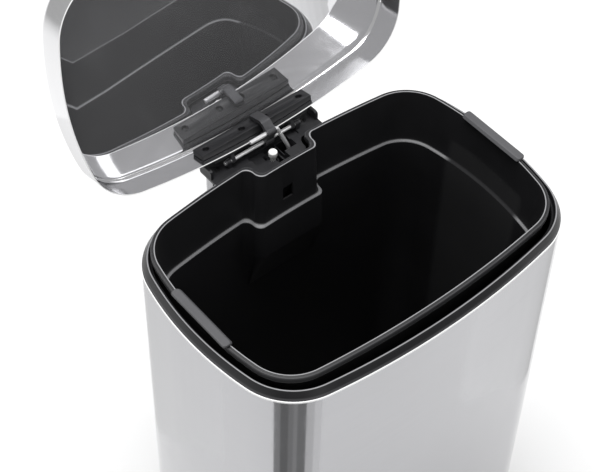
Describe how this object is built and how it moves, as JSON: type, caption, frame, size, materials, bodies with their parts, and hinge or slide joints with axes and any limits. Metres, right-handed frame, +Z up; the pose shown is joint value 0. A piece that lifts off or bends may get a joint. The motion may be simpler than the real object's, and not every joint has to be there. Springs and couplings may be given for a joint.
{
  "type": "pedal trash can",
  "caption": "Rounded rectangular steel pedal trash can with a lift-out black bucket, a hinged steel lid held open, hinge housing with damper, lift rod and pedal lever.",
  "frame": {"origin": "on the floor under the middle of the body's outline", "axes": "+Z up, -Y the front where the pedal is, +Y the back where the lid hinge is, +X to the right seen from the front"},
  "size_m": [0.41, 0.4636, 0.8846],
  "materials": {
    "brushed_steel": "satin brushed stainless steel",
    "mirror_steel": "mirror polished stainless steel",
    "bright_steel": "bright drawn steel",
    "zinc_steel": "zinc plated steel",
    "dark_steel": "black coated steel",
    "black_plastic": "black moulded plastic, satin",
    "bucket_plastic": "black moulded plastic, fine satin",
    "housing_plastic": "black glass-filled plastic",
    "grip_plastic": "dark grey soft-touch plastic",
    "white_plastic": "white acetal",
    "rubber": "black rubber"
  },
  "bodies": {
    "body": {"body_shell": "brushed_steel", "top_rim": "black_plastic", "inner_bucket": "bucket_plastic", "bucket_grip_left": "grip_plastic", "bucket_grip_right": "grip_plastic", "base_tray": "black_plastic", "rear_spine": "brushed_steel", "hinge_housing": "housing_plastic", "damper_body": "housing_plastic", "hinge_pin": "bright_steel", "pin_clip_left": "zinc_steel", "pin_clip_right": "zinc_steel", "lever_axle": "bright_steel", "rod_guide": "black_plastic", "bucket_post_1": "black_plastic", "rubber_foot_1": "rubber", "base_screw_1": "zinc_steel", "bucket_post_2": "black_plastic", "rubber_foot_2": "rubber", "base_screw_2": "zinc_steel", "bucket_post_3": "black_plastic", "rubber_foot_3": "rubber", "base_screw_3": "zinc_steel", "bucket_post_4": "black_plastic", "rubber_foot_4": "rubber", "base_screw_4": "zinc_steel", "housing_screw_1": "dark_steel", "housing_screw_2": "dark_steel", "axle_bracket_left": "black_plastic", "axle_ring_left": "zinc_steel", "axle_bracket_right": "black_plastic", "axle_ring_right": "zinc_steel", "spine_screw_top": "zinc_steel", "spine_screw_bottom": "zinc_steel"},
    "lid": {"lid_shell": "brushed_steel", "lid_inner_plate": "mirror_steel", "hinge_block": "housing_plastic", "hinge_bracket": "zinc_steel", "lifter_arm": "dark_steel", "lever_pin": "bright_steel", "lid_screw_1": "dark_steel", "lid_screw_2": "dark_steel", "lid_screw_3": "dark_steel", "lid_screw_4": "dark_steel"},
    "pedal": {"pedal_lever": "zinc_steel", "pedal_plate": "brushed_steel", "pedal_pad": "rubber", "pedal_rivet_1": "zinc_steel", "pedal_rivet_2": "zinc_steel"},
    "rod": {"lift_rod": "bright_steel", "rod_shoe": "black_plastic"},
    "plunger": {"damper_plunger": "white_plastic"}
  },
  "joints": [
    {"name": "lid_hinge", "type": "hinge", "parent": "body", "child": "lid", "pos_m": [0, 0.1455, 0.614], "axis": [1, 0, 0], "range_deg": [0, 103]},
    {"name": "pedal_hinge", "type": "hinge", "parent": "body", "child": "pedal", "pos_m": [0, 0.02, 0.03], "axis": [1, 0, 0], "range_deg": [-11.27, 0]},
    {"name": "rod_slide", "type": "slide", "parent": "body", "child": "rod", "axis": [0, 0, 1], "range_m": [-0.0226, 0]},
    {"name": "plunger_slide", "type": "slide", "parent": "body", "child": "plunger", "axis": [0, 0, 1], "range_m": [-0.0101, 0]}
  ],
  "couplings": [
    {"joint": "pedal_hinge", "follows": "lid_hinge", "ratio": -0.10931},
    {"joint": "rod_slide", "follows": "lid_hinge", "m_per_rad": -0.012516},
    {"joint": "plunger_slide", "follows": "lid_hinge", "m_per_rad": -0.0055627}
  ]
}
